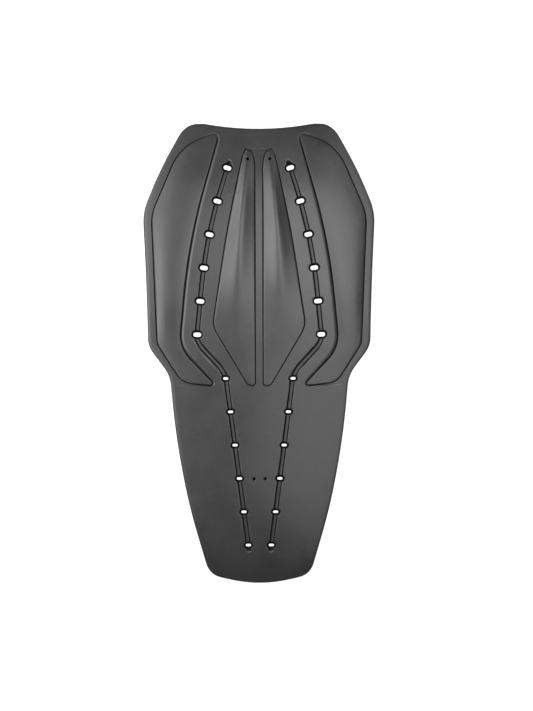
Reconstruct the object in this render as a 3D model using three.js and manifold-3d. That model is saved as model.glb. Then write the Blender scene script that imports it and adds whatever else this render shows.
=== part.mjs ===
// A back protector insert: one moulded sheet of soft impact foam that slips into a jacket's back pocket.
// The sheet lies on its flat back with the outer face up. Two ridged pads run beside the spine, two crowned
// pads cover the shoulder blades, and a flex groove on each side threads a row of tapered slots.
// Millimetres: +X to the wearer's right, +Y towards the neck, +Z out of the outer face, z = 0 on the back.

import * as THREE from "three";
import { mergeVertices } from "three/addons/utils/BufferGeometryUtils.js";
import Module from "manifold-3d";

// Driving dimensions
const LENGTH = 500; // hem to collar
const HALF_WIDTH = 126; // middle line to the widest point of a wing
const SLOT_PITCH = 0.0725 * LENGTH; // along each run of slots

// Small sizes of the moulding
const EDGE_ROUND = 1.5; // roll of the outer edge on the face
const EDGE_UNDER = 1.2; // bevel of the outer edge on the back
const CREASE = { width: 1.2, depth: 1.3 }; // moulded line round each pad
const GROOVE = { mouth: 5.6, floor: 2.6, depth: 3.2, tip: 3 }; // flex groove and its tapered ends
const SLOT_WAIST = 0.45; // height of a slot's throat, as a share of the sheet's thickness there
const PIN_HOLE = { radius: 1.5, depth: 4, reach: 8 }; // blind vents of the mould, cut through any pad above

// Meshing
const CORNER_STEPS = 5; // chords in each rounded corner
const LONGEST_CHORD = 25; // a straight stretch is split into chords no longer than this
const SKIN_RINGS = [0.9, 0.74, 0.56, 0.36, 0.16]; // copies of the outline, as shares of its size
const EDGE_ANGLES = [0, 45, 90]; // degrees round the edge's roll
const PAD_ROWS = 22; // sections along a pad
const PAD_COLUMNS = [-1, -0.88, -0.6, -0.3, 0, 0.3, 0.6, 0.88, 1]; // inner edge, crest, outer edge
const PAD_ROOT = 3; // height inside the sheet where a pad's solid starts
const TIP_INSET = 0.15; // the last section stands this far inside a pad's tip
const GROOVE_STEP = 10; // spacing of the groove's sections
const SLOT_END_STEPS = 5; // chords in each round end of a slot
const CLEAR = 1; // how far a cutter reaches past the surface that it cuts

// Every place below is given by across, in % of HALF_WIDTH from the middle line, and along, in % of LENGTH
// from mid length towards the neck. round is how many millimetres of each side of a corner its curve takes.

// Right half of the outline, from the neck round the wing, waist and hip to the hem
const OUTLINE = [
  { corner: "neck", across: 0, along: 47.9, round: 55 },
  { corner: "collar", across: 61.9, along: 50.6, round: 20 },
  { corner: "shoulder", across: 85.5, along: 39.8, round: 25 },
  { corner: "wing", across: 100.2, along: 30.7, round: 14 },
  { corner: "side", across: 96.9, along: 14.5, round: 50 },
  { corner: "waist", across: 95.8, along: 1.5, round: 9 },
  { corner: "hip", across: 77.1, along: -4.8, round: 11 },
  { corner: "flank", across: 72.4, along: -17.6, round: 35 },
  { corner: "loin", across: 61.5, along: -32.8, round: 35 },
  { corner: "hem end", across: 43.5, along: -48.3, round: 14 },
  { corner: "hem", across: 0, along: -50.6, round: 30 },
];

// Thickness of the sheet on its middle line, and fall, how much thinner it is at HALF_WIDTH
const THICKNESS = [
  { along: -50.5, thick: 5.3, fall: 7.0 },
  { along: -44, thick: 8.7, fall: 7.0 },
  { along: -34, thick: 10.8, fall: 7.5 },
  { along: -18, thick: 11.7, fall: 5.0 },
  { along: 2, thick: 12.2, fall: 2.5 },
  { along: 22, thick: 13.4, fall: 4.5 },
  { along: 35, thick: 12.4, fall: 5.5 },
  { along: 44, thick: 9.0, fall: 4.8 },
  { along: 50.5, thick: 5.6, fall: 4.0 },
];

// Right pad beside the spine: an arrow head with a keel that is steep near the neck and dies out below
const SPINE_PAD = {
  outline: [
    { corner: "tip", across: 8.9, along: 45.9, round: 16 },
    { corner: "tip side", across: 14.1, along: 42.5, round: 10 },
    { corner: "outer edge", across: 27.1, along: 27.0, round: 40 },
    { corner: "outer point", across: 39.7, along: 5.9, round: 9 },
    { corner: "lower end", across: 9.3, along: -7.4, round: 4 },
    { corner: "inner end", across: 3.8, along: -7.4, round: 3 },
    { corner: "inner edge", across: 3.8, along: 41.8, round: 9 },
  ],
  keel: 1.25, // power of the cross-section: 1 is a roof, 2 a round crown
  // step up from the sheet, crown above it, and crest, the crown's place as a share of the pad's width
  sections: [
    { along: 45, step: 0.2, crown: 0.1, crest: 0.5 },
    { along: 41, step: 0.4, crown: 1.3, crest: 0.56 },
    { along: 35, step: 0.5, crown: 3.9, crest: 0.47 },
    { along: 28, step: 0.5, crown: 4.4, crest: 0.46 },
    { along: 20, step: 0.5, crown: 4.0, crest: 0.41 },
    { along: 12, step: 0.5, crown: 2.0, crest: 0.34 },
    { along: 4, step: 0.4, crown: 0.2, crest: 0.3 },
    { along: -8.6, step: 0.3, crown: 0.1, crest: 0.3 },
  ],
};

// Right pad over the shoulder blade: a crowned blade that hooks in under the wing
const SHOULDER_PAD = {
  outline: [
    { corner: "inner top", across: 34.3, along: 48.2, round: 12 },
    { corner: "outer top", across: 67.1, along: 45.0, round: 24 },
    { corner: "wing", across: 92.4, along: 30.2, round: 12 },
    { corner: "waist", across: 87.7, along: 2.0, round: 5 },
    { corner: "hook", across: 66.3, along: -5.9, round: 9 },
    { corner: "hook tip", across: 38.8, along: -7.5, round: 7 },
    { corner: "inner elbow", across: 69.6, along: 1.2, round: 18 },
    { corner: "inner edge", across: 60.8, along: 24.2, round: 60 },
  ],
  keel: 1.8,
  sections: [
    { along: 47.5, step: 0.3, crown: 0.3, crest: 0.56 },
    { along: 40, step: 0.5, crown: 0.8, crest: 0.55 },
    { along: 28, step: 0.6, crown: 1.3, crest: 0.53 },
    { along: 12, step: 0.6, crown: 1.2, crest: 0.53 },
    { along: 0, step: 0.5, crown: 0.3, crest: 0.55 },
    { along: -7.3, step: 0.4, crown: 0.1, crest: 0.56 },
  ],
};

// Centre line of the right flex groove, from under the collar to above the hem
const GROOVE_LINE = [
  { corner: "top end", across: 24.9, along: 42.1, round: 0 },
  { corner: "shoulder blade", across: 45.4, along: 25.4, round: 60 },
  { corner: "waist", across: 54.2, along: 2.5, round: 10 },
  { corner: "hip", across: 29.4, along: -4.2, round: 12 },
  { corner: "hem end", across: 9.0, along: -43.6, round: 0 },
];

// The two runs of slots on a groove. Each slot narrows from its mouth on the face to its throat inside the
// sheet and opens again on the back. square says that the slots stand square to the groove; the others lie
// straight across the sheet.
const SLOT_RUNS = [
  { count: 6, first: 40.3, mouth: [12.0, 8.6], throat: [8.4, 4.7], square: true },
  { count: 6, first: -5.5, mouth: [9.6, 6.4], throat: [5.6, 2.8], square: false },
];

const PIN_HOLES = [
  { across: 9.6, along: 42.2 },
  { across: 4.8, along: -27.3 },
];

const wasm = await Module();
wasm.setup();

// Places, curves and tables

const acrossOf = (row) => (row.across / 100) * HALF_WIDTH;
const alongOf = (row) => (row.along / 100) * LENGTH;
const placeOf = (row) => new THREE.Vector2(acrossOf(row), alongOf(row));

// Polyline through a list of corners, each softened by a quadratic curve that starts and ends its round away
// from it. An open line keeps its two end points.
function softened(corners, closed) {
  const points = corners.map(placeOf);
  const count = points.length;
  const path = new THREE.Path();
  const cut = (i, j) => {
    const side = points[j].clone().sub(points[i]);
    const taken = Math.min(corners[i].round, side.length() * 0.98);
    return points[i].clone().add(side.setLength(taken));
  };
  corners.forEach((row, i) => {
    const isEnd = !closed && (i === 0 || i === count - 1);
    const from = isEnd ? points[i] : cut(i, (i + count - 1) % count);
    if (i === 0) path.moveTo(from.x, from.y);
    else path.lineTo(from.x, from.y);
    if (isEnd) return;
    const to = cut(i, (i + 1) % count);
    path.quadraticCurveTo(points[i].x, points[i].y, to.x, to.y);
  });
  if (closed) path.closePath();
  return withoutLongChords(path.getPoints(CORNER_STEPS), closed);
}

// Splits long straight stretches and drops repeated points
function withoutLongChords(points, closed) {
  const made = [];
  points.forEach((point, i) => {
    const before = points[i - 1];
    if (before && point.distanceTo(before) < 0.01) return;
    const pieces = before ? Math.ceil(point.distanceTo(before) / LONGEST_CHORD) : 1;
    for (let k = 1; k < pieces; k++) made.push(before.clone().lerp(point, k / pieces));
    made.push(point);
  });
  if (closed && made[0].distanceTo(made[made.length - 1]) < 0.01) made.pop();
  return made;
}

// A closed outline moved outwards by distance, or inwards where that is negative. It runs clockwise.
function offset(points, distance) {
  const count = points.length;
  return points.map((point, i) => {
    const before = points[(i + count - 1) % count];
    const after = points[(i + 1) % count];
    const run = after.clone().sub(before).normalize();
    return new THREE.Vector2(point.x - run.y * distance, point.y + run.x * distance);
  });
}

// The value of a table's column at a place along the sheet, on a smooth curve through its rows
function valueAlong(table, column, y) {
  const along = (y / LENGTH) * 100;
  const rows = [...table].sort((a, b) => a.along - b.along);
  const last = rows.length - 1;
  if (along <= rows[0].along) return rows[0][column];
  if (along >= rows[last].along) return rows[last][column];
  const i = rows.findIndex((row) => row.along > along) - 1;
  const slope = (k) => {
    const low = rows[Math.max(k - 1, 0)];
    const high = rows[Math.min(k + 1, last)];
    return (high[column] - low[column]) / (high.along - low.along);
  };
  const gap = rows[i + 1].along - rows[i].along;
  const t = (along - rows[i].along) / gap;
  const rise = (1 + 2 * t) * (1 - t) ** 2 * rows[i][column] + t * t * (3 - 2 * t) * rows[i + 1][column];
  return rise + gap * (t * (1 - t) ** 2 * slope(i) + t * t * (t - 1) * slope(i + 1));
}

// Height of the sheet's face, before its pads and grooves
function faceHeight(x, y) {
  return valueAlong(THICKNESS, "thick", y) - valueAlong(THICKNESS, "fall", y) * (x / HALF_WIDTH) ** 2;
}

// The two places where a closed outline crosses the level y, from the middle line outwards
function crossings(points, y) {
  const found = [];
  points.forEach((a, i) => {
    const b = points[(i + 1) % points.length];
    if (a.y > y !== b.y > y) found.push(a.x + ((y - a.y) / (b.y - a.y)) * (b.x - a.x));
  });
  return [Math.min(...found), Math.max(...found)];
}

// Solids

function geometryOf(points, triangles) {
  const geometry = new THREE.BufferGeometry();
  geometry.setAttribute("position", new THREE.Float32BufferAttribute(points.flat(), 3));
  geometry.setIndex(triangles.flat());
  return geometry;
}

// A closed geometry as a solid that can be joined and cut
function solidOf(geometry) {
  const merged = mergeVertices(geometry, 1e-4);
  return new wasm.Manifold(
    new wasm.Mesh({
      numProp: 3,
      vertProperties: new Float32Array(merged.getAttribute("position").array),
      triVerts: new Uint32Array(merged.index.array),
    }),
  );
}

// Two triangles between four corners, seen anticlockwise from outside
const quad = (a, b, c, d) => [
  [a, b, c],
  [a, c, d],
];

// A solid between the low and high of a grid of places, whose rows run along +Y and columns along +X
function gridSolid(rows) {
  const wide = rows[0].length;
  const count = rows.length * wide;
  const places = rows.flat();
  const points = [...places.map((p) => [p.x, p.y, p.high]), ...places.map((p) => [p.x, p.y, p.low])];
  const top = (i, j) => i * wide + j;
  const under = (i, j) => count + top(i, j);
  const end = rows.length - 1;
  const side = wide - 1;
  const faces = [];
  for (let i = 0; i < end; i++) {
    for (let j = 0; j < side; j++) {
      faces.push(...quad(top(i, j), top(i, j + 1), top(i + 1, j + 1), top(i + 1, j)));
      faces.push(...quad(under(i, j), under(i + 1, j), under(i + 1, j + 1), under(i, j + 1)));
    }
    faces.push(...quad(top(i, 0), top(i + 1, 0), under(i + 1, 0), under(i, 0)));
    faces.push(...quad(top(i, side), under(i, side), under(i + 1, side), top(i + 1, side)));
  }
  for (let j = 0; j < side; j++) {
    faces.push(...quad(top(0, j), under(0, j), under(0, j + 1), top(0, j + 1)));
    faces.push(...quad(top(end, j), top(end, j + 1), under(end, j + 1), under(end, j)));
  }
  return solidOf(geometryOf(points, faces));
}

// The same grid on the wearer's left
const mirrored = (rows) => rows.map((row) => row.map((p) => ({ ...p, x: -p.x })).reverse());

// A solid through closed rings of equal length, each anticlockwise from above and higher than the one before.
// Its two ends are fans about a centre point.
function ringSolid(rings, endLow, endHigh) {
  const count = rings[0].length;
  const points = [...rings.flat(), endLow, endHigh];
  const low = rings.length * count;
  const faces = [];
  const last = (rings.length - 1) * count;
  for (let i = 0; i < count; i++) {
    const next = (i + 1) % count;
    for (let k = 0; k < rings.length - 1; k++) {
      const here = k * count;
      faces.push(...quad(here + i, here + next, here + count + next, here + count + i));
    }
    faces.push([low, next, i]);
    faces.push([low + 1, last + i, last + next]);
  }
  return solidOf(geometryOf(points, faces));
}

// The plain sheet: a flat back, a rolled edge and a face that follows faceHeight
function sheet() {
  const left = OUTLINE.slice(1, -1).map((row) => ({ ...row, across: -row.across }));
  const outline = softened([...OUTLINE, ...left.reverse()], true);
  const onFace = (p) => [p.x, p.y, faceHeight(p.x, p.y)];
  const rolled = EDGE_ANGLES.map((degrees) => {
    const angle = THREE.MathUtils.degToRad(degrees);
    const inset = EDGE_ROUND * (1 - Math.cos(angle));
    const drop = EDGE_ROUND * (1 - Math.sin(angle));
    return offset(outline, -inset).map((p) => [p.x, p.y, faceHeight(p.x, p.y) - drop]);
  });
  const rings = [
    offset(outline, -EDGE_UNDER).map((p) => [p.x, p.y, 0]),
    outline.map((p) => [p.x, p.y, EDGE_UNDER]),
    ...rolled,
    ...SKIN_RINGS.map((share) => outline.map((p) => onFace(p.clone().multiplyScalar(share)))),
  ].map((ring) => ring.reverse());
  return ringSolid(rings, [0, 0, 0], [0, 0, faceHeight(0, 0)]);
}

// Heights along an outline's length where it is cut into sections, closer together at its two tips
function sectionLevels(points) {
  const heights = points.map((p) => p.y);
  const low = Math.min(...heights) + TIP_INSET;
  const high = Math.max(...heights) - TIP_INSET;
  return Array.from({ length: PAD_ROWS + 1 }, (_, k) => {
    const share = (1 - Math.cos((Math.PI * k) / PAD_ROWS)) / 2;
    return low + share * (high - low);
  });
}

// A grid of places over a closed outline. sharesAt gives a row's columns as shares of its width, and
// heightsAt the low and high of a column at its place.
function gridOver(points, sharesAt, heightsAt) {
  return sectionLevels(points).map((y) => {
    const [inner, outer] = crossings(points, y);
    return sharesAt(y).map((share, column) => {
      const x = inner + share * (outer - inner);
      return { x, y, ...heightsAt(column, x, y) };
    });
  });
}

// A raised pad: a step up from the sheet and a crown across its width, both read from the pad's sections
function padGrid(pad) {
  const sharesAt = (y) => {
    const crest = valueAlong(pad.sections, "crest", y);
    return PAD_COLUMNS.map((aside) => crest + aside * (aside < 0 ? crest : 1 - crest));
  };
  const heightsAt = (column, x, y) => {
    const away = Math.abs(PAD_COLUMNS[column]);
    const step = valueAlong(pad.sections, "step", y) * (away === 1 ? 0.5 : 1);
    const crown = valueAlong(pad.sections, "crown", y) * (1 - away ** pad.keel);
    return { low: PAD_ROOT, high: faceHeight(x, y) + step + crown };
  };
  return gridOver(softened(pad.outline, true), sharesAt, heightsAt);
}

// The moulded line round a pad, cut a little wider than the pad that then stands in it
function creaseGrid(pad) {
  const wider = offset(softened(pad.outline, true), CREASE.width);
  const heightsAt = (column, x, y) => {
    const face = faceHeight(x, y);
    return { low: face - CREASE.depth, high: face + CLEAR };
  };
  return gridOver(wider, () => [0, 0.5, 1], heightsAt);
}

const grooveLine = softened(GROOVE_LINE, false);

// Place and direction on the groove's centre line, a given way along it from its top end
function alongGroove(distance) {
  let left = distance;
  for (let i = 1; i < grooveLine.length; i++) {
    const run = grooveLine[i].clone().sub(grooveLine[i - 1]);
    if (left <= run.length() || i === grooveLine.length - 1) {
      const point = grooveLine[i - 1].clone().add(run.clone().setLength(left));
      return { point, run: run.normalize() };
    }
    left -= run.length();
  }
}

// The flex groove: a trough with sloping walls, pinched to a point at both ends
function grooveGrid() {
  const total = grooveLine.reduce((sum, p, i) => sum + (i ? p.distanceTo(grooveLine[i - 1]) : 0), 0);
  const inner = total - 2 * GROOVE.tip;
  const steps = Math.round(inner / GROOVE_STEP);
  const stations = Array.from({ length: steps + 1 }, (_, k) => ({
    at: GROOVE.tip + (inner * k) / steps,
    open: 1,
  }));
  const flare = (CLEAR * (GROOVE.mouth - GROOVE.floor)) / 2 / GROOVE.depth;
  const half = GROOVE.mouth / 2 + flare;
  const sections = [{ at: 0, open: 0.12 }, ...stations, { at: total, open: 0.12 }].map(({ at, open }) => {
    const { point, run } = alongGroove(at);
    return [half, GROOVE.floor / 2, -GROOVE.floor / 2, -half].map((aside, j) => {
      const x = point.x + run.y * aside * open;
      const y = point.y - run.x * aside * open;
      const face = faceHeight(x, y);
      const isWall = j === 0 || j === 3;
      const low = isWall ? face + CLEAR * 0.9 : face - GROOVE.depth * open;
      return { x, y, low, high: face + CLEAR };
    });
  });
  return sections.reverse();
}

// A slot's outline: a straight-sided slot with two round ends, anticlockwise, turned by tilt
function slotRing([long, wide], tilt, centre, z) {
  const radius = wide / 2;
  const reach = long / 2 - radius;
  const ring = [];
  for (const end of [1, -1]) {
    for (let k = 0; k <= SLOT_END_STEPS; k++) {
      const angle = -Math.PI / 2 + (Math.PI * k) / SLOT_END_STEPS;
      const spot = new THREE.Vector2(reach + radius * Math.cos(angle), radius * Math.sin(angle));
      spot.multiplyScalar(end).rotateAround(new THREE.Vector2(), tilt).add(centre);
      ring.push([spot.x, spot.y, z]);
    }
  }
  return ring;
}

// The cutter of one slot: narrowest at its throat, opening to its mouth above and half as far below
function slotCutter(run, centre, tilt) {
  const face = faceHeight(centre.x, centre.y);
  const waist = SLOT_WAIST * face;
  const above = (CLEAR + face - waist) / (face - waist);
  const below = (CLEAR + waist) / waist / 2;
  const sizeAt = (open) => run.throat.map((size, i) => size + (run.mouth[i] - size) * open);
  const rings = [
    slotRing(sizeAt(below), tilt, centre, -CLEAR),
    slotRing(sizeAt(0), tilt, centre, waist),
    slotRing(sizeAt(above), tilt, centre, face + CLEAR),
  ];
  return ringSolid(rings, [centre.x, centre.y, -CLEAR], [centre.x, centre.y, face + CLEAR]);
}

// Where the groove's centre line passes the level y, with the tilt of a slot that stands square to it there
function onGroove(y) {
  const i = grooveLine.findIndex((p, k) => k > 0 && p.y <= y);
  const [above, below] = [grooveLine[i - 1], grooveLine[i]];
  const share = (above.y - y) / (above.y - below.y);
  const run = below.clone().sub(above);
  return { x: above.x + share * run.x, tilt: Math.atan2(run.x, -run.y) };
}

function slotCutters(side) {
  return SLOT_RUNS.flatMap((run) =>
    Array.from({ length: run.count }, (_, k) => {
      const y = (run.first / 100) * LENGTH - k * SLOT_PITCH;
      const { x, tilt } = onGroove(y);
      return slotCutter(run, new THREE.Vector2(side * x, y), run.square ? side * tilt : 0);
    }),
  );
}

// The cutters of the pin holes: plain round holes that stop inside the sheet
function pinHoleCutters(side) {
  return PIN_HOLES.map((hole) => {
    const face = faceHeight(acrossOf(hole), alongOf(hole));
    const height = PIN_HOLE.depth + PIN_HOLE.reach;
    const geometry = new THREE.CylinderGeometry(PIN_HOLE.radius, PIN_HOLE.radius, height, 8);
    geometry.deleteAttribute("normal");
    geometry.deleteAttribute("uv");
    geometry.rotateX(Math.PI / 2);
    geometry.translate(side * acrossOf(hole), alongOf(hole), face - PIN_HOLE.depth + height / 2);
    return solidOf(geometry);
  });
}

// The whole moulding
function backGuard() {
  const grids = [SPINE_PAD, SHOULDER_PAD].map((pad) => ({ crease: creaseGrid(pad), pad: padGrid(pad) }));
  const groove = grooveGrid();
  let guard = sheet();
  for (const side of [1, -1]) {
    const placed = (rows) => gridSolid(side > 0 ? rows : mirrored(rows));
    for (const grid of grids) guard = guard.subtract(placed(grid.crease)).add(placed(grid.pad));
    guard = guard.subtract(placed(groove));
    for (const cutter of slotCutters(side)) guard = guard.subtract(cutter);
    for (const cutter of pinHoleCutters(side)) guard = guard.subtract(cutter);
  }
  const mesh = guard.getMesh();
  const geometry = new THREE.BufferGeometry();
  geometry.setAttribute("position", new THREE.BufferAttribute(mesh.vertProperties, 3));
  geometry.setIndex(new THREE.BufferAttribute(mesh.triVerts, 1));
  geometry.computeVertexNormals();
  geometry.computeBoundingBox();
  const middle = geometry.boundingBox.getCenter(new THREE.Vector3());
  return geometry.translate(-middle.x, -middle.y, 0);
}

const foam = new THREE.MeshStandardMaterial({ color: 0x3a3a3b, roughness: 0.5, metalness: 0 });
const guard = new THREE.Mesh(backGuard(), foam);
guard.name = "back_guard";

const insert = new THREE.Group();
insert.name = "back_protector_insert";
insert.add(guard);

export default insert;
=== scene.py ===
"""The looks of a back protector insert: one moulded foam sheet, lying on its flat back with the outer face up."""

import math

import bpy
import numpy as np
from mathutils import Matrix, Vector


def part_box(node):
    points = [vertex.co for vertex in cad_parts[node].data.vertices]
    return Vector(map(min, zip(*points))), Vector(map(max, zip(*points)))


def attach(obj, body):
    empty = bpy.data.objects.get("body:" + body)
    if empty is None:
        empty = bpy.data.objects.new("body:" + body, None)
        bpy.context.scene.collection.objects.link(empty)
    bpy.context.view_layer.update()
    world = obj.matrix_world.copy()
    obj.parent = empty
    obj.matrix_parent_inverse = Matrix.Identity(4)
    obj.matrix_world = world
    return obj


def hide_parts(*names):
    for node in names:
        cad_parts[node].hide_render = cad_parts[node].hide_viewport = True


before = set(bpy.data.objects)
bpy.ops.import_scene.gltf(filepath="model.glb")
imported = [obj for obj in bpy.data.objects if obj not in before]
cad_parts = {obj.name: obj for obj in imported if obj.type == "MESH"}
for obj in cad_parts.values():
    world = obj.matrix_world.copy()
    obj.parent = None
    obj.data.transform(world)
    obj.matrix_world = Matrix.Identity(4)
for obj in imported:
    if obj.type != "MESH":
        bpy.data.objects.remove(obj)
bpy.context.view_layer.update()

# Sizes are in millimetres until the mesh is made. Overall sizes come from the frame: the outline's curves reach
# a little less than the length and width that its corners are given in.
MM = 0.001
LENGTH_REACH, WIDTH_REACH = 0.9998, 0.9967
LOW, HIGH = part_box("back_guard")
LENGTH = (HIGH.y - LOW.y) / MM / LENGTH_REACH
HALF_WIDTH = (HIGH.x - LOW.x) / 2 / MM / WIDTH_REACH
SLOT_PITCH = 0.0725 * LENGTH

EDGE_ROUND = 1.5  # roll of the outer edge on the face
EDGE_UNDER = 1.2  # roll of the outer edge on the back
SPINE_LINE, SHOULDER_LINE = (1.2, 1.2), (1.7, 1.2)  # width of the moulded line at each pad's inner and outer side
GROOVE_MOUTH, GROOVE_FLOOR, GROOVE_DEPTH = 5.6, 2.6, 3.2
GROOVE_SHADE = 0.22  # share of the full painted shade that a groove's floor takes between the slots
GROOVE_DARK, LINE_DARK = 3.0, 2.4  # how fast the painted shade deepens down a groove's walls and a line's sides
PAD_REACH = 9  # a pad and its line change nothing further out than this
LINE_DEPTH = 1.6  # a line this deep, or deeper, takes the full painted shade
GROOVE_CAP = 3.0  # the groove's round ends reach this far past its centre line
RUB_OUT, RUB_WIDTH = 0.4, 0.7  # a groove's rims rub this far outside its mouth, over about this width
STEP_INSIDE = 0.5  # a pad's step is at its full height this far inside the pad's outline
CREST_ROUND = 0.18  # how far from its crest a pad's ridge is rounded, as a share of the flank
LIP = 0.6  # roll of a slot's rim
WAIST = 0.45  # height of a slot's narrowest place, as a share of the face's height
PIN_RADIUS, PIN_DEPTH = 1.5, 4.0
PIN_LIP, PIN_LIP_DROP, PIN_LIP_SHADE = 0.35, 0.3, 0.3  # width, height and painted shade of the roll of a pin hole's rim
PIN_TAPER = 0.85  # a pin hole's floor, as a share of its radius
CORNER_STEPS, CORNER_MOST = 16, 0.98  # pieces of a corner's curve, and the most of a side that it takes
LINE_CHANGE = (0.3, 0.7)  # a line's width changes between these shares of its pad's width
TINY = 1e-12  # stands in for no length at all where one is divided by
BATCH = 4096  # points whose distance to a line is found together

# Places are (across, along): % of HALF_WIDTH from the middle line, % of LENGTH from mid length towards the neck.
# A corner's third value is how many millimetres of each of its sides its curve takes.
OUTLINE = [
    (0, 47.9, 55),
    (61.9, 50.6, 20),
    (85.5, 39.8, 25),
    (100.2, 30.7, 14),
    (96.9, 14.5, 50),
    (95.8, 1.5, 9),
    (77.1, -4.8, 11),
    (72.4, -17.6, 35),
    (61.5, -32.8, 35),
    (43.5, -48.3, 14),
    (0, -50.6, 30),
]
SPINE_PAD = [
    (8.9, 45.7, 16),
    (14.1, 42.5, 10),
    (27.1, 27.0, 40),
    (39.7, 5.9, 9),
    (9.3, -7.0, 4),
    (3.8, -7.0, 3),
    (3.8, 41.8, 9),
]
SHOULDER_PAD = [
    (34.3, 48.2, 12),
    (67.1, 45.0, 24),
    (92.4, 30.2, 12),
    (87.7, 2.0, 5),
    (66.3, -6.3, 10),
    (38.8, -7.0, 7),
    (69.6, 1.2, 18),
    (60.8, 24.2, 60),
]
GROOVE_LINE = [(25.3, 41.8, 0), (45.4, 25.4, 60), (54.2, 2.5, 10), (29.4, -4.2, 12), (9.2, -43.1, 0)]

# (along, thickness on the middle line, how much thinner the sheet is at HALF_WIDTH) of the sheet
THICKNESS = [
    (-50.5, 5.3, 7.0),
    (-44, 8.7, 7.0),
    (-34, 10.8, 7.5),
    (-18, 11.7, 5.0),
    (2, 12.2, 2.5),
    (22, 13.4, 4.5),
    (35, 12.4, 5.5),
    (44, 9.0, 4.8),
    (50.5, 5.6, 4.0),
]
# (along, step up from the sheet, crown above the step, crest's share of the width, depth of the moulded line)
SPINE_SECTIONS = [
    (-8.6, 0.3, 0.1, 0.4, 1.4),
    (4, 0.4, 0.4, 0.42, 1.7),
    (12, 0.5, 1.8, 0.46, 1.7),
    (20, 0.5, 3.5, 0.5, 1.7),
    (28, 0.5, 4.2, 0.53, 1.7),
    (35, 0.5, 3.4, 0.56, 1.7),
    (41, 0.4, 1.4, 0.58, 1.6),
    (45, 0.2, 0.1, 0.6, 0.9),
]
SPINE_RIDGE = 1.25  # slope of a spine pad's flank beside its ridge, as a share of the flank's mean slope
SHOULDER_SECTIONS = [
    (-7.3, 0.4, 0.1, 0.56, 1.7),
    (0, 0.5, 0.3, 0.55, 1.7),
    (12, 0.6, 1.2, 0.53, 1.7),
    (28, 0.6, 1.3, 0.53, 1.7),
    (40, 0.5, 0.8, 0.55, 1.7),
    (45.8, 0.4, 0.45, 0.56, 1.5),
    (47.6, 0.3, 0.3, 0.56, 0.2),
]
SHOULDER_RIDGE = 0.0  # a shoulder pad is one round crown, with no ridge

# count, first place along, mouth length and width, throat length and width, square to the groove or not
SLOT_RUNS = [
    (6, 40.3, (12.0, 8.6), (8.4, 4.7), True),
    (6, -5.5, (9.6, 6.4), (5.6, 2.8), False),
]
# The groove's ends, past these two slots, take the full painted shade down to the floor
FIRST_SLOT = SLOT_RUNS[0][1] / 100 * LENGTH
LAST_SLOT = SLOT_RUNS[-1][1] / 100 * LENGTH - (SLOT_RUNS[-1][0] - 1) * SLOT_PITCH
PIN_HOLES = [(9.6, 42.2), (4.8, -27.3)]

# Rings of a slot. On the face: shares of the way from the block's border to the lip. Over the lip: (share of
# its width still to go, share of its height fallen, painted shade). Down the wall: shares of the way from the
# mouth to the throat.
FACE_RINGS = [0.35, 0.7, 1.0]
LIP_RINGS = [(0.5, 0.13, 0.6), (0.13, 0.5, 1)]
WALL_RINGS = [0.35, 0.7]
FLARE_OUT, FLARE_HEIGHT = 0.6, 0.3  # the ring below the throat: shares of its way out and of the throat's height
RIM_KEEPS = 0.8  # at most this share of a slot's half length keeps to the groove's columns
BACK_RING = 0.4  # share of the way from the slot's back rim to the block's border

# The mesh's columns and rows
TIP_TRIM = 0.6  # a pad's lanes leave its outline this far from its tips
STEEPEST, EDGE_STEEPEST = 4.5, 1.6  # the most that a pad's columns and the edge's spread where they run across
ELBOW_ROOM = 1.2  # a pad's columns draw closer where they have less room than this many times their reach
EASED = 7  # rows over which the spread of columns changes
EDGE_OFFSETS = [0, 0.4, 0.9, 1.6, 4.0]  # columns and rows inside the outline
PAD_OFFSETS = [-2.2, -1.4, -1.2, -0.9, -0.6, -0.3, 0.0, 0.25, 0.9, 2.2]  # columns from outside a pad to inside
# Columns before each of these: a spine pad's near side, its ridge, its far side, the groove, a shoulder pad's
# near side, its far side, the edge
GAP_COLUMNS = [1, 4, 4, 2, 2, 8, 1]
BACK_KEEPS = 4  # which of a pad's columns the back keeps
RIDGE_CLEAR = 0.3  # a ridge's column keeps this share of the room between the columns beside it
GROOVE_MARGIN = 0.5  # room between the groove's columns and a pad's
GROOVE_OFFSETS = [0, 0.8, 1.3, 1.8, 2.3, 2.8, 3.4, 5.2, 8.6]  # columns either side of the groove's centre line
SLOT_ROWS = [-8, -6.4, -5, -3.6, -1.8, 0, 1.8, 3.6, 5, 6.4, 8]  # rows either side of a slot's centre
PIN_BLOCK = 2.9  # half size of the block of cells that a pin hole takes the place of
FINE_ZONES = [(44.2, 48.8), (-9.4, -5.0)]  # along: where lines run across the sheet
FINE_STEP, ROW_STEP = 0.36, 2.2  # rows there, and rows elsewhere between the slots
NECK_CORNER, HEM_CORNER = 49.5, -47.9  # along: where the top and bottom rows meet the outline's sides
NECK_BEND, HEM_BEND = 9, 20  # distance from the neck and hem over which the rows take up their curve
NECK_FROM, HEM_FROM = 0.9, 0.95  # the outline beyond these shares of the corners' heights is neck or hem
ROW_SLACK = 0.01  # a row this close to a hole's block is its edge
IN_HOLE = 0.95  # a face whose points all take more painted shade than this gets the hole's material, painted nearly black
BACK_STRIDE = 3  # the flat back keeps one row in this many, away from its edges and the slots


def place(across, along):
    return np.array([across / 100 * HALF_WIDTH, along / 100 * LENGTH])


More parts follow.
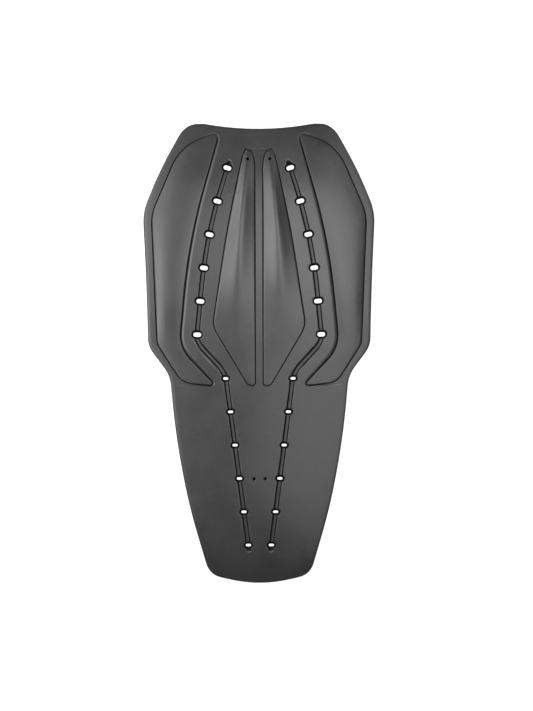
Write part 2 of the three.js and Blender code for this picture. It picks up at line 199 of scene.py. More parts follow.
def softened(corners, closed):
    """Points along a line through the corners, each replaced by a quadratic curve between the two places that
    stand its third value away from it on its sides."""
    points = [place(c[0], c[1]) for c in corners]
    count = len(points)
    t = np.linspace(0, 1, CORNER_STEPS + 1)[:, None]
    made = []
    for i, corner in enumerate(corners):
        if not closed and i in (0, count - 1):
            made.append(points[i][None])
            continue
        cuts = []
        for other in (points[i - 1], points[(i + 1) % count]):
            side = other - points[i]
            length = np.hypot(*side)
            cuts.append(points[i] + side * min(corner[2], CORNER_MOST * length) / length)
        made.append((1 - t) ** 2 * cuts[0] + 2 * t * (1 - t) * points[i] + t**2 * cuts[1])
    return np.concatenate(made)


def shortened(line, cut):
    """An open line with a length cut off each of its two end pieces."""
    ends = line.copy()
    for end, beside in ((0, 1), (-1, -2)):
        run = line[beside] - line[end]
        ends[end] = line[end] + run * cut / np.hypot(*run)
    return ends


outline_all = OUTLINE + [(-a, b, c) for a, b, c in OUTLINE[-2:0:-1]]
outline = softened(outline_all, True)
spine_pad = softened(SPINE_PAD, True)
shoulder_pad = softened(SHOULDER_PAD, True)
groove_line = softened(GROOVE_LINE, False)
groove_core = shortened(groove_line, GROOVE_CAP)


def smooth_table(rows, column, y):
    """A table's column at the heights y, on a cubic through its rows whose slope at each row is that between
    the rows either side of it."""
    rows = np.array(rows, float)
    x, v = rows[:, 0] * LENGTH / 100, rows[:, column]
    slope = np.empty(len(x))
    slope[1:-1] = (v[2:] - v[:-2]) / (x[2:] - x[:-2])
    slope[0] = (v[1] - v[0]) / (x[1] - x[0])
    slope[-1] = (v[-1] - v[-2]) / (x[-1] - x[-2])
    y = np.clip(y, x[0], x[-1])
    i = np.clip(np.searchsorted(x, y, side="right") - 1, 0, len(x) - 2)
    gap = x[i + 1] - x[i]
    t = (y - x[i]) / gap
    ends = (1 + 2 * t) * (1 - t) ** 2 * v[i] + t * t * (3 - 2 * t) * v[i + 1]
    return ends + gap * (t * (1 - t) ** 2 * slope[i] + t * t * (t - 1) * slope[i + 1])


def smoothstep(low, high, value):
    t = np.clip((value - low) / (high - low), 0, 1)
    return t * t * (3 - 2 * t)


def distance(points, line, closed):
    """Distance from each point to a line of straight pieces."""
    a = line
    b = np.roll(line, -1, axis=0)
    if not closed:
        a, b = a[:-1], b[:-1]
    side = b - a
    square = np.maximum((side**2).sum(1), TINY)
    best = np.full(len(points), np.inf)
    for start in range(0, len(points), BATCH):
        away = points[start : start + BATCH, None] - a
        t = np.clip((away * side).sum(2) / square, 0, 1)
        gap = away - t[..., None] * side
        best[start : start + BATCH] = np.sqrt((gap**2).sum(2).min(1))
    return best


def inside(points, line):
    """True for each point within a closed line: a ray towards +X crosses it an odd number of times."""
    a, b = line, np.roll(line, -1, axis=0)
    x, y = points[:, :1], points[:, 1:]
    rise = np.where(b[:, 1] == a[:, 1], TINY, b[:, 1] - a[:, 1])
    at = a[:, 0] + (y - a[:, 1]) / rise * (b[:, 0] - a[:, 0])
    return (((a[:, 1] > y) != (b[:, 1] > y)) & (at > x)).sum(1) % 2 == 1


def crossings(line, heights):
    """Lowest and highest x where a closed line meets each height, or nan where it doesn't reach."""
    a, b = line, np.roll(line, -1, axis=0)
    y = np.asarray(heights, float)[:, None]
    rise = np.where(b[:, 1] == a[:, 1], TINY, b[:, 1] - a[:, 1])
    at = np.where((a[:, 1] > y) != (b[:, 1] > y), a[:, 0] + (y - a[:, 1]) / rise * (b[:, 0] - a[:, 0]), np.nan)
    reached = ~np.isnan(at).all(1)
    low, high = np.full(len(y), np.nan), np.full(len(y), np.nan)
    low[reached] = np.nanmin(at[reached], axis=1)
    high[reached] = np.nanmax(at[reached], axis=1)
    return low, high


def pad_relief(points, line, sections, ridge, widths):
    """Height that a pad adds, and the depth of the moulded line round it as a share of a line's depth. The
    line is a narrow V just outside the pad's outline; inside it the pad takes a small step, and a crown
    across its width that falls from its rounded crest to nothing at its edges. Its slope is the ridge's share
    of the mean beside the crest and changes evenly to the edge."""
    reach = line[:, 0].max() + PAD_REACH
    near = (np.abs(points[:, 1] - line[:, 1].mean()) < np.ptp(line[:, 1])) & (points[:, 0] < reach)
    rise, cut = np.zeros(len(points)), np.zeros(len(points))
    p = points[near]
    depth = distance(p, line, True) * np.where(inside(p, line), 1, -1)
    step, crown, crest, dip = (smooth_table(sections, column, p[:, 1]) for column in (1, 2, 3, 4))
    low, high = crossings(line, p[:, 1])
    share = np.clip(np.nan_to_num((p[:, 0] - low) / (high - low), nan=0.0), 0, 1)
    from_crest = np.where(share < crest, (crest - share) / crest, (share - crest) / (1 - crest))
    from_crest = np.sqrt(from_crest**2 + CREST_ROUND**2) - CREST_ROUND
    from_crest /= np.sqrt(1 + CREST_ROUND**2) - CREST_ROUND
    fall = ridge * from_crest + (1 - ridge) * from_crest**2
    wide = widths[0] + (widths[1] - widths[0]) * smoothstep(*LINE_CHANGE, share)
    cut[near] = np.clip(1 - np.abs(2 * depth / wide + 1), 0, 1)
    rise[near] = step * smoothstep(-wide / 2, STEP_INSIDE, depth) + crown * (1 - fall) - dip * cut[near]
    cut[near] *= np.clip(dip / LINE_DEPTH, 0, 1)
    return rise, cut


def face_relief(points):
    """Height of the outer face at each point of the right half: the sheet's thickness, less its fall to the
    sides, plus the pads, less the groove and the roll of the outer edge. With it, how much painted shade each
    point takes, down in a line or on a groove's walls and floor, and how near it is to a rim that rubs, all from
    0 to 1."""
    x, y = points[:, 0], points[:, 1]
    height = smooth_table(THICKNESS, 1, y) - smooth_table(THICKNESS, 2, y) * (x / HALF_WIDTH) ** 2
    spine_rise, spine_cut = pad_relief(points, spine_pad, SPINE_SECTIONS, SPINE_RIDGE, SPINE_LINE)
    blade_rise, blade_cut = pad_relief(points, shoulder_pad, SHOULDER_SECTIONS, SHOULDER_RIDGE, SHOULDER_LINE)
    aside = distance(points, groove_core, False)
    groove = 1 - smoothstep(GROOVE_FLOOR / 2, GROOVE_MOUTH / 2, aside)
    edge = np.clip(distance(points, outline, True), 0, EDGE_ROUND)
    roll = EDGE_ROUND - np.sqrt(EDGE_ROUND**2 - (EDGE_ROUND - edge) ** 2)
    height += spine_rise + blade_rise - GROOVE_DEPTH * groove - roll
    past_slots = (y > FIRST_SLOT) | (y < LAST_SLOT)
    # Painted shade: a groove's walls and floor are darkened for the shade that falls in them, the floor fully
    # only past the slots.
    painted_groove_shade = np.maximum(GROOVE_DARK * 4 * groove * (1 - groove), groove * np.where(past_slots, 1, GROOVE_SHADE))
    # Painted shade in the moulded lines round the pads joins it; it also makes the skin matt there.
    deep = np.clip(np.maximum(LINE_DARK * np.maximum(spine_cut, blade_cut), painted_groove_shade), 0, 1)
    rubbed = np.where(past_slots, 0, np.exp(-(((aside - GROOVE_MOUTH / 2 - RUB_OUT) / RUB_WIDTH) ** 2)))
    return height, deep, np.maximum(roll / EDGE_ROUND, rubbed)


def back_height(points):
    """Height of the back: flat, with a small roll at the outer edge."""
    edge = np.clip(distance(points, outline, True), 0, EDGE_UNDER)
    return EDGE_UNDER - np.sqrt(EDGE_UNDER**2 - (EDGE_UNDER - edge) ** 2)


def row_heights():
    """Heights of the rows before they bend: a set round each slot and pin hole, rows at the edge offsets from
    the neck and the hem, and between these a few to each gap, or many where lines run across the sheet."""
    top, bottom = NECK_CORNER / 100 * LENGTH, HEM_CORNER / 100 * LENGTH
    slots = np.array([hole["centre"][1] for hole in slot_holes(1)])
    reach = SLOT_ROWS[-1]
    pins = np.array([along / 100 * LENGTH for _, along in PIN_HOLES])
    fixed = [top - np.array(EDGE_OFFSETS), bottom + np.array(EDGE_OFFSETS), pins - PIN_BLOCK, pins + PIN_BLOCK]
    fixed = np.concatenate(fixed + [y + np.array(SLOT_ROWS) for y in slots])
    ends = np.concatenate([[top - EDGE_OFFSETS[-1] + reach], slots, [bottom + EDGE_OFFSETS[-1] - reach]])
    free = [np.arange(low / 100 * LENGTH, high / 100 * LENGTH, FINE_STEP) for low, high in FINE_ZONES]
    for above, below in zip(ends[:-1], ends[1:]):
        gap = above - below - 2 * reach
        free.append(np.linspace(above - reach, below + reach, 2 + max(int(gap / ROW_STEP), 1))[1:-1])
    free = np.concatenate(free)
    free = free[np.abs(free[:, None] - fixed).min(1) > FINE_STEP / 2]
    return np.unique(np.round(np.concatenate([fixed, free]), 4))


def held(y, known_y, value):
    """A value known between two heights, and held at its end values beyond them."""
    order = np.argsort(known_y)
    return np.interp(y, known_y[order], value[order])


def eased(values):
    """Each value replaced by the mean of those in the EASED rows round it."""
    beyond = EASED // 2
    return np.convolve(np.pad(values, beyond, mode="edge"), np.full(EASED, 1 / EASED), mode="valid")


def filled(left, right, count):
    """Columns that share out the space between two columns."""
    share = np.arange(1, count + 1) / (count + 1)
    return left[:, None] + (right - left)[:, None] * share


def pad_columns(y, inner, outer, line):
    """Columns beside a pad's two sides, at the pad offsets square to its outline, drawn closer where there is
    little room. Beyond the pad's tips its sides keep their share of the room between inner and outer."""
    on = (y > line[:, 1].min() + TIP_TRIM) & (y < line[:, 1].max() - TIP_TRIM)
    near, far = [held(y, y[on], ((x - inner) / (outer - inner))[on]) for x in crossings(line, y)]
    near, far = inner + (outer - inner) * near, inner + (outer - inner) * far
    offsets = np.array(PAD_OFFSETS)
    spread = [eased(np.minimum(np.hypot(1, np.gradient(side, y)), STEEPEST)) for side in (near, far)]
    within = (far - near) / (ELBOW_ROOM * offsets[-1] * (spread[0] + spread[1]))
    outside = -ELBOW_ROOM * offsets[0]
    beside = [(near - inner) / (outside * spread[0]), (outer - far) / (outside * spread[1])]
    made = []
    for side, way, steep, room in zip((near, far), (1, -1), spread, beside):
        reach = np.where(offsets > 0, np.minimum(within, 1)[:, None], np.minimum(room, 1)[:, None])
        made.append(side[:, None] + (way * steep[:, None] * reach * offsets)[:, ::way])
    return made


def columns(y):
    """The x of every column of the right half, a row for each height, from the middle line to the outline,
    with the number of the groove's middle column and a mask of the columns that the back keeps."""
    side = crossings(outline, y)[1]
    middle = side * held(y, groove_line[:, 1], groove_line[:, 0] / crossings(outline, groove_line[:, 1])[1])
    margin = GROOVE_OFFSETS[-1] + GROOVE_MARGIN
    spine_in, spine_out = pad_columns(y, 0 * y, middle - margin, spine_pad)
    blade_in, blade_out = pad_columns(y, middle + margin, side, shoulder_pad)
    groove = middle[:, None] + np.array([-d for d in GROOVE_OFFSETS[:0:-1]] + GROOVE_OFFSETS)
    lean = np.minimum(np.hypot(1, np.gradient(side, y)), EDGE_STEEPEST)[:, None]
    edge = side[:, None] - lean * np.array(EDGE_OFFSETS[::-1])
    made, kept = [0 * y[:, None]], [[True]]
    crest = smooth_table(SPINE_SECTIONS, 3, y)[:, None]
    on_line = PAD_OFFSETS.index(0.0)
    near, far = spine_in[:, [on_line]], spine_out[:, [-1 - on_line]]
    clear = RIDGE_CLEAR * (spine_out[:, :1] - spine_in[:, -1:])
    ridge = np.clip(near + crest * (far - near), spine_in[:, -1:] + clear, spine_out[:, :1] - clear)
    groups = (spine_in, ridge, spine_out, groove, blade_in, blade_out, edge)
    for group, between in zip(groups, GAP_COLUMNS):
        made += [filled(made[-1][:, -1], group[:, 0], between), group]
        whole = group.shape[1] != len(PAD_OFFSETS)
        kept += [np.arange(between) % 2 == 0, whole | (np.arange(group.shape[1]) == BACK_KEEPS)]
        if group is groove:
            centre = sum(m.shape[1] for m in made) - len(GROOVE_OFFSETS)
    return np.concatenate(made, axis=1), centre, np.concatenate(kept)


def bent(x, y):
    """Heights of the grid after its first and last rows take the curve of the hem and the neck, which lie
    between the corners of the grid."""
    top, bottom = y.max(), y.min()

    def curve(part, level):
        return np.where(np.abs(x) < np.abs(x[y == level]).max(), held(x, part[:, 0], part[:, 1]) - level, 0)

    near_neck = smoothstep(top - NECK_BEND, top, y)[:, None]
    near_hem = 1 - smoothstep(bottom, bottom + HEM_BEND, y)[:, None]
    neck = curve(outline[outline[:, 1] > NECK_FROM * top], top)
    hem = curve(outline[outline[:, 1] < HEM_FROM * bottom], bottom)
    return y[:, None] + near_neck * neck + near_hem * hem


def on_groove(y):
    """Where the groove's centre line passes the height y, and the tilt of a slot that stands square to it."""
    i = int(np.argmax(groove_line[1:, 1] <= y))
    above, below = groove_line[i], groove_line[i + 1]
    share = (above[1] - y) / (above[1] - below[1])
    run = below - above
    return above[0] + share * run[0], math.atan2(run[0], -run[1])


def slot_holes(side):
    """The slots of one side: where each is, how it is turned, and its sizes at its mouth and its throat."""
    holes = []
    for count, first, mouth, throat, square in SLOT_RUNS:
        for k in range(count):
            y = first / 100 * LENGTH - k * SLOT_PITCH
            x, tilt = on_groove(y)
            turn = side * tilt if square else 0.0
            holes.append(dict(centre=np.array([side * x, y]), turn=turn, mouth=mouth, throat=throat))
    return holes


def turned(points, angle):
    c, s = math.cos(angle), math.sin(angle)
    return points @ np.array([[c, s], [-s, c]])


def slot_rim(hole, size, start, ends):
    """Points on a slot's rim, one for each point of the block's border. Points on the block's ends keep their
    distance from the groove's centre line, as far as the groove is wide, and points on its sides share out
    the round ends."""
    long, wide = size
    reach, radius = (long - wide) / 2, wide / 2
    corner = radius * math.sqrt(0.5)
    spot = turned(start - hole["centre"], -hole["turn"])
    across, along = np.abs(spot).T
    keep = min(GROOVE_MOUTH / 2, RIM_KEEPS * (reach + corner))
    x = np.interp(across, [0, keep, across[ends].max()], [0, keep, reach + corner])
    y = np.interp(along, [0, along[~ends].max()], [0, corner])
    x = np.where(ends, x, reach + np.sqrt(radius**2 - y**2))
    y = np.where(ends, np.sqrt(radius**2 - np.maximum(x - reach, 0) ** 2), y)
    return hole["centre"] + turned(np.sign(spot) * np.stack([x, y], 1), hole["turn"])


def border(i0, i1, j0, j1):
    """Row and column of each grid point round a block of cells, anticlockwise from its lower left corner."""
    rows, cols = np.arange(i0, i1), np.arange(j0, j1)
    i = np.concatenate([np.full(len(cols), i0), rows, np.full(len(cols), i1), rows[::-1] + 1])
    j = np.concatenate([cols, np.full(len(rows), j1), cols[::-1] + 1, np.full(len(rows), j0)])
    return i, j


def face_marks(points):
    """The face's height, painted shade and wear on either half."""
    return face_relief(np.stack([np.abs(points[:, 0]), points[:, 1]], 1))


def face_at(points):
    """The face's height on either half."""
    return face_marks(points)[0]


def slot_rings(hole, start, ends):
    """The rings of one slot, as places, heights and how much painted shade they take: from the block's border on
    the face, over the lip, down the wall to its narrowest place and out to the block's border on the back."""
    mouth, throat = (slot_rim(hole, hole[size], start, ends) for size in ("mouth", "throat"))
    lip = slot_rim(hole, [d + 2 * LIP for d in hole["mouth"]], start, ends)
    back = slot_rim(hole, [(a + b) / 2 for a, b in zip(hole["mouth"], hole["throat"])], start, ends)
    level = face_at(hole["centre"][None])[0] + GROOVE_DEPTH
    flat = np.zeros(len(start))
    rings = []
    for share in FACE_RINGS:
        ring = start + (lip - start) * share
        height, deep, _ = face_marks(ring)
        rings.append((ring, height, deep))
    for out, fallen, painted_shade in LIP_RINGS:
        ring = mouth + (lip - mouth) * out
        rings.append((ring, face_at(ring) - LIP * fallen, painted_shade))
    low = np.minimum(face_at(mouth) - LIP, level - LIP)
    # From the mouth down, every ring takes full painted shade.
    rings.append((mouth, low, 1))
    for share in WALL_RINGS:
        rings.append((mouth + (throat - mouth) * share, low + (WAIST * level - low) * share, 1))
    rings.append((throat, flat + WAIST * level, 1))
    rings.append((throat + (back - throat) * FLARE_OUT, flat + FLARE_HEIGHT * WAIST * level, 1))
    rings.append((back, flat, 1))
    rings.append((back + (start - back) * BACK_RING, flat, 0))
    return rings


def pin_rings(hole, start, ends):
    """The rings of one pin hole, given as a slot's are: from the block's border on the face, all the same way
    round, down to the hole's floor."""
    aim = start - hole["centre"]
    aim = aim / np.hypot(*aim.T)[:, None]
    level = face_at(hole["centre"][None])[0]
    radii = (PIN_RADIUS + PIN_LIP, PIN_RADIUS, PIN_TAPER * PIN_RADIUS)
    lip, mouth, floor = (hole["centre"] + aim * radius for radius in radii)
    middle = (start + lip) / 2
    # Painted shade: some on the lip's roll, full from the mouth down.
    rings = [(middle, face_at(middle), 0), (lip, face_at(lip), PIN_LIP_SHADE)]
    rings.append((mouth, face_at(mouth) - PIN_LIP_DROP, 1))
    rings.append((floor, np.full(len(start), level - PIN_DEPTH), 1))
    return rings


def hole_blocks(heights, x, groove_column):
    """Every hole of both sides: the hole, the function that makes its rings, and the first and last row and
    column of the block of cells that it takes the place of."""
    middle, wide = (x.shape[1] - 1) // 2, len(GROOVE_OFFSETS) - 1
    slot_ends = np.array([-SLOT_ROWS[-1], SLOT_ROWS[-1]])
    pin_ends = np.array([-PIN_BLOCK, PIN_BLOCK])
    blocks = []
    for side in (1, -1):
        for hole in slot_holes(side):
            i0, i1 = np.searchsorted(heights, hole["centre"][1] + slot_ends - ROW_SLACK)
            j = middle + side * groove_column
            blocks.append((hole, slot_rings, (i0, i1, j - wide, j + wide)))
        for across, along in PIN_HOLES:
            spot = place(side * across, along)
            i0, i1 = np.searchsorted(heights, spot[1] + pin_ends - ROW_SLACK)
            j0, j1 = np.searchsorted(x[(i0 + i1) // 2], spot[0] + pin_ends)
            blocks.append((dict(centre=spot), pin_rings, (i0, i1, j0 - 1, j1)))
    return blocks


def back_rows_of(count, blocks):
    """The rows that the back keeps: one in every stride, and all those at the edges and round the slots."""
    keep = np.arange(count) % BACK_STRIDE == 0
    keep[: len(EDGE_OFFSETS)] = keep[-len(EDGE_OFFSETS) :] = True
    for _, rings_of, (i0, i1, _, _) in blocks:
        if rings_of is slot_rings:
            keep[i0 : i1 + 1] = True
    return np.flatnonzero(keep)


def edge_wall(over, low):
    """Faces of the wall between the face's border points and those below them that the back keeps, -1 where
    it keeps none: a quad where it keeps the next one, and otherwise a triangle."""
    last = np.maximum.accumulate(np.where(low >= 0, np.arange(len(low)), 0))
    after, next_low = np.roll(over, -1), np.roll(low, -1)
    quads = np.stack([low[last], next_low, after, over], 1)[next_low >= 0]
    tris = np.stack([low[last], after, over], 1)[next_low < 0]
    return quads, tris


def joined(points, quads, tris, caps, painted_shade, worn):
    """One smooth mesh of all faces, without the points that none of them uses. Faces that take full painted shade
    throughout, as in the holes, take the second material, which is painted nearly black."""
    used = np.unique(np.concatenate([quads.ravel(), tris.ravel()]))
    number = np.zeros(len(points), int)
    number[used] = np.arange(len(used))
    faces = number[quads].tolist() + number[tris].tolist() + [number[cap].tolist() for cap in caps]
    mesh = bpy.data.meshes.new("foam_guard")
    mesh.from_pydata((points[used] * MM).tolist(), [], faces)
    mesh.polygons.foreach_set("use_smooth", np.ones(len(faces), bool))
    in_hole = [(painted_shade[quads] > IN_HOLE).all(1), np.zeros(len(tris), bool), np.ones(len(caps), bool)]
    in_hole = np.concatenate(in_hole)
    mesh.polygons.foreach_set("material_index", in_hole.astype(np.int32))
    for name, values in (("painted_shade", painted_shade), ("worn", worn)):
        mesh.attributes.new(name, "FLOAT", "POINT").data.foreach_set("value", values[used].astype(np.float32))
    mesh.validate()
    mesh.update()
    return mesh


def guard_mesh():
    """The whole sheet as one closed mesh: a grid over the face, a coarser one over the back, a wall round the
    outline between them, and rings through each slot in place of a block of cells. Its attributes: the painted
    shade is 1 down in the holes and lines, where their shade is painted in near black and the skin is made matt,
    and worn is 1 on the rims that rub."""
    heights = row_heights()
    half, groove_column, kept = columns(heights)
    x = np.concatenate([-half[:, :0:-1], half], axis=1)
    rows, cols = x.shape
    flat = np.stack([x, bent(x, heights)], -1).reshape(-1, 2)
    ids = np.arange(rows * cols).reshape(rows, cols)
    blocks = hole_blocks(heights, x, groove_column)

    back_rows = back_rows_of(rows, blocks)
    back_cols = np.flatnonzero(np.concatenate([kept[:0:-1], kept]))
    back_net = np.ix_(back_rows, back_cols)
    grid = rows * cols + np.arange(len(back_rows) * len(back_cols)).reshape(len(back_rows), -1)
    back_ids = np.full((rows, cols), -1)
    back_ids[back_net] = grid

    under = flat[ids[back_net].ravel()]
    height, deep, worn = face_marks(flat)
    points = [np.column_stack([flat, height]), np.column_stack([under, back_height(under)])]
    # Painted shade of the face's points; the back takes none.
    painted_shade = [deep, np.zeros(len(under))]
    total = len(flat) + len(under)
    face_cells = np.ones((rows - 1, cols - 1), bool)
    back_cells = np.ones((len(back_rows) - 1, len(back_cols) - 1), bool)
    quads, caps = [], []
    for hole, rings_of, (i0, i1, j0, j1) in blocks:
        face_cells[i0:i1, j0:j1] = False
        i, j = border(i0, i1, j0, j1)
        chain = [ids[i, j]]
        for ring, height, depth in rings_of(hole, flat[ids[i, j]], (i == i0) | (i == i1)):
            points.append(np.column_stack([ring, height]))
            painted_shade.append(np.broadcast_to(depth, len(i)))
            chain.append(total + np.arange(len(i)))
            total += len(i)
        if rings_of is slot_rings:
            r0, r1 = np.searchsorted(back_rows, (i0, i1))
            c0, c1 = np.searchsorted(back_cols, (j0, j1))
            back_cells[r0:r1, c0:c1] = False
            chain.append(back_ids[i, j])
        else:
            caps.append(chain[-1])
        quads += [np.stack([a, np.roll(a, -1), np.roll(b, -1), b], 1) for a, b in zip(chain[:-1], chain[1:])]

    face = np.stack([ids[:-1, :-1], ids[:-1, 1:], ids[1:, 1:], ids[1:, :-1]], -1)
    back = np.stack([grid[:-1, :-1], grid[1:, :-1], grid[1:, 1:], grid[:-1, 1:]], -1)
    i, j = border(0, rows - 1, 0, cols - 1)
    wall, tris = edge_wall(ids[i, j], back_ids[i, j])
    quads += [face[face_cells], back[back_cells], wall]
    worn = np.concatenate([worn, np.zeros(total - len(worn))])
    return joined(np.concatenate(points), np.concatenate(quads), tris, caps, np.concatenate(painted_shade), worn)


guard = bpy.data.objects.new("foam_guard", guard_mesh())
bpy.context.scene.collection.objects.link(guard)


def maker(material):
    """A function that adds a node to an emptied material: settings are the node's own, inputs are values or
    sockets."""
    material.use_nodes = True
    tree = material.node_tree
    tree.nodes.clear()

    def add(kind, inputs=None, **settings):
        made = tree.nodes.new("ShaderNode" + kind)
        for name, value in settings.items():
            setattr(made, name, value)
        for name, value in (inputs or {}).items():
            if isinstance(value, bpy.types.NodeSocket):
                tree.links.new(value, made.inputs[name])
            else:
                made.inputs[name].default_value = value
        return made

    return add


def grey(value):
    return (value, value, 1.02 * value, 1)


def foam_material():
    """The satin skin of moulded foam. Cloudy patches vary its tone and sheen; slow waves, a mottle, a fine
    peel and a finer grain give it relief; thin crossing scratches and specks of dust lie on it; rims that rub
    are paler and duller, and in the holes and lines shade is painted in, nearly black, on a matt skin."""
    material = bpy.data.materials.new("moulded_foam")
    add = maker(material)
    spot = add("TexCoord").outputs["Object"]

    def noise(scale, detail=2.0, at=spot):
        return add("TexNoise", {"Vector": at, "Scale": scale, "Detail": detail}).outputs["Fac"]

    def ramp(value, low, high, first=0.0, last=1.0):
        ends = {"Value": value, "From Min": low, "From Max": high, "To Min": first, "To Max": last}
        return add("MapRange", ends, interpolation_type="SMOOTHSTEP").outputs["Result"]

    def maths(operation, *values):
        made = add("Math", operation=operation)
        for socket, value in zip(made.inputs, values):
            if isinstance(value, bpy.types.NodeSocket):
                material.node_tree.links.new(value, socket)
            else:
                socket.default_value = value
        return made.outputs[0]

    def blend(factor, a, b):
        sides = {"Factor": factor, "A": a, "B": b}
        return add("Mix", sides, data_type="RGBA").outputs["Result"]

    def attribute(name):
        return add("Attribute", attribute_name=name).outputs["Fac"]

    def hairlines(turn, spacing):
        """Thin lines along the borders of long cells, kept only in patches."""
        stretch = {"Vector": spot, "Rotation": (0, 0, math.radians(turn)), "Scale": (9, 1000 / spacing, 1)}
        cells = {"Vector": add("Mapping", stretch).outputs["Vector"], "Scale": 1.0}
        border = add("TexVoronoi", cells, feature="DISTANCE_TO_EDGE", voronoi_dimensions="2D").outputs["Distance"]
        line = ramp(border, 0.0, 0.3 / spacing, 1.0, 0.0)
        return maths("MULTIPLY", line, ramp(noise(19 + spacing), 0.54, 0.64))

    clouds = noise(26, 3.0)
    mottle = noise(110, 2.0)
    peel = noise(330, 3.0)
    grain = noise(1500)
    scratch = maths("MAXIMUM", hairlines(62, 17), hairlines(-24, 23))
    cells = add("TexVoronoi", {"Vector": spot, "Scale": 85.0})
    dust = maths("MULTIPLY", ramp(cells.outputs["Distance"], 0.022, 0.04, 1.0, 0.0), ramp(noise(41), 0.5, 0.62))
    worn = maths("MULTIPLY", attribute("worn"), ramp(noise(210), 0.36, 0.68))
    # Painted shade in the holes and lines
    painted_shade = attribute("painted_shade")

    tone = blend(ramp(clouds, 0.3, 0.7), grey(0.036), grey(0.044))
    tone = blend(maths("MULTIPLY", ramp(mottle, 0.3, 0.7), 0.1), tone, grey(0.06))
    tone = blend(maths("MULTIPLY", ramp(peel, 0.3, 0.7), 0.15), tone, grey(0.062))
    tone = blend(maths("MULTIPLY", scratch, 0.3), tone, grey(0.085))
    tone = blend(maths("MULTIPLY", worn, 0.4), tone, grey(0.08))
    tone = blend(maths("MULTIPLY", dust, 0.5), tone, grey(0.14))
    # Painted shade: nearly black in the holes and lines
    tone = blend(painted_shade, tone, grey(0.004))

    rough = ramp(clouds, 0.25, 0.75, 0.27, 0.33)
    rough = maths("ADD", rough, maths("MULTIPLY", maths("MAXIMUM", worn, scratch), 0.1))
    rough = maths("ADD", rough, maths("MULTIPLY", painted_shade, 0.6))

    normal = None
    for height, deep in ((clouds, 2.5e-4), (mottle, 7e-5), (peel, 2.5e-5), (grain, 6e-6), (scratch, -1.5e-5)):
        relief = {"Height": height, "Distance": abs(deep), "Strength": 1.0}
        if normal:
            relief["Normal"] = normal
        normal = add("Bump", relief, invert=deep < 0).outputs["Normal"]

    skin = add("BsdfPrincipled", {"Base Color": tone, "Roughness": rough, "Normal": normal})
    add("OutputMaterial", {"Surface": skin.outputs["BSDF"]})
    return material


def hole_material():
    """The foam inside the slots and pin holes: matt, with an open, grainy texture, and painted nearly black for
    the shade inside them.
    """
    material = bpy.data.materials.new("hole_wall")
    add = maker(material)
    spot = add("TexCoord").outputs["Object"]
    grain = add("TexNoise", {"Vector": spot, "Scale": 900.0, "Detail": 3.0}).outputs["Fac"]
    # Painted shade: the colour of the walls is nearly black
    tone = add("Mix", {"Factor": grain, "A": grey(0.003), "B": grey(0.009)}, data_type="RGBA").outputs["Result"]
    normal = add("Bump", {"Height": grain, "Distance": 1e-4, "Strength": 0.6}).outputs["Normal"]
    surface = {"Base Color": tone, "Roughness": 0.9, "Specular IOR Level": 0.12, "Normal": normal}
    skin = add("BsdfPrincipled", surface)
    add("OutputMaterial", {"Surface": skin.outputs["BSDF"]})
    return material


guard.data.materials.append(foam_material())
guard.data.materials.append(hole_material())
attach(guard, "root")
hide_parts("back_guard")


def floor_material():
    material = bpy.data.materials.new("pale_floor")
    add = maker(material)
    white = {"Base Color": (0.5, 0.5, 0.5, 1), "Roughness": 0.9}
    white.update({"Emission Color": (1, 1, 1, 1), "Emission Strength": 0.97})
    skin = add("BsdfPrincipled", white)
    add("OutputMaterial", {"Surface": skin.outputs["BSDF"]})
    return material


FLOOR, FLOOR_LEVEL = 3.0, -0.0004  # half width, and height just below the sheet's back
floor_mesh = bpy.data.meshes.new("floor")
corners = [(FLOOR * a, FLOOR * b, FLOOR_LEVEL) for a, b in ((-1, -1), (1, -1), (1, 1), (-1, 1))]
floor_mesh.from_pydata(corners, [], [(0, 1, 2, 3)])
floor = bpy.data.objects.new("floor", floor_mesh)
floor_mesh.materials.append(floor_material())
bpy.context.scene.collection.objects.link(floor)


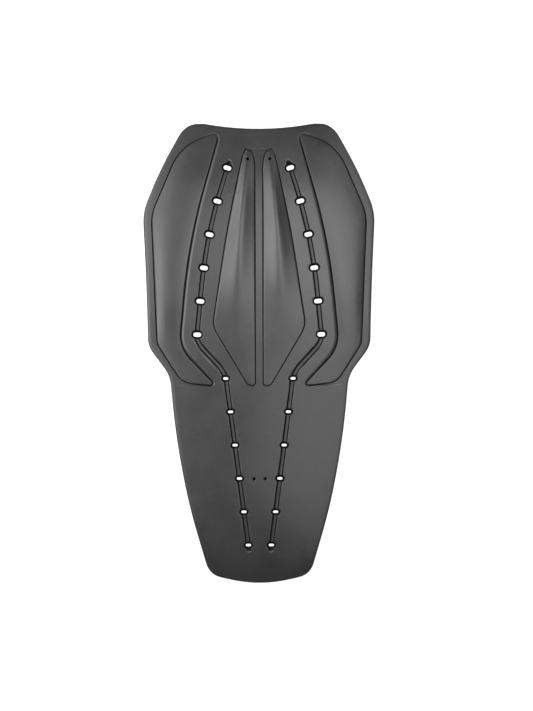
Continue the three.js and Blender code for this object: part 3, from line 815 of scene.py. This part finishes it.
def softbox(name, at, size, watts):
    """A softbox that faces the middle of the floor and doesn't show in the picture."""
    light = bpy.data.lights.new(name, "AREA")
    light.shape = "RECTANGLE"
    light.size, light.size_y = size
    light.energy = watts
    lamp = bpy.data.objects.new(name, light)
    bpy.context.scene.collection.objects.link(lamp)
    lamp.location = at
    lamp.rotation_euler = lamp.location.to_track_quat("Z", "Y").to_euler()
    lamp.visible_camera = False


NEAR, FAR = 0.55, 1.2  # heights of the two banks of softboxes above the floor
softbox("overhead", (0.08, 0, NEAR), (0.4, 0.25), 0.22)
softbox("over_neck", (0, 0.15, NEAR), (0.25, 0.25), 0.44)
softbox("over_wing_right", (0.15, 0.15, NEAR), (0.25, 0.25), 0.62)
softbox("over_shoulder_right", (0.3, 0.37, NEAR), (0.25, 0.4), 0.4)
softbox("over_hip_right", (0.15, -0.15, NEAR), (0.25, 0.25), 0.4)
softbox("over_wing_left", (-0.37, 0.15, NEAR), (0.4, 0.25), 0.74)
softbox("left", (-0.6, 0, FAR), (0.5, 0.5), 4.8)
softbox("left_neck", (-0.6, 0.6, FAR), (0.5, 0.5), 1.5)
softbox("far_left", (-1.2, 0.6, FAR), (0.5, 0.5), 6.3)

world = bpy.data.worlds.new("studio")
bpy.context.scene.world = world
world.use_nodes = True
world.node_tree.nodes["Background"].inputs["Color"].default_value = (1, 1, 1, 1)
world.node_tree.nodes["Background"].inputs["Strength"].default_value = 0.0

# The camera looks straight down, as in the photo
DISTANCE = 2.4
BELOW = (0.0078, -0.0026)  # the place on the floor below the camera
TURN = -0.165  # degrees that the picture is turned by
FACE_LEVEL = 0.009  # the outer face's mean height
PIXEL, PHOTO_HEIGHT = 0.0010857, 711  # metres of the object to a pixel of the photo, and pixels down the photo
SENSOR = 24
camera_data = bpy.data.cameras.new("camera")
camera_data.sensor_fit = "VERTICAL"
camera_data.sensor_height = SENSOR
camera_data.lens = SENSOR * (DISTANCE - FACE_LEVEL) / (PHOTO_HEIGHT * PIXEL)
camera = bpy.data.objects.new("camera", camera_data)
camera.location = (*BELOW, DISTANCE)
camera.rotation_euler = (0, 0, math.radians(TURN))
bpy.context.scene.collection.objects.link(camera)
bpy.context.scene.camera = camera
bpy.context.scene.view_settings.view_transform = "Standard"
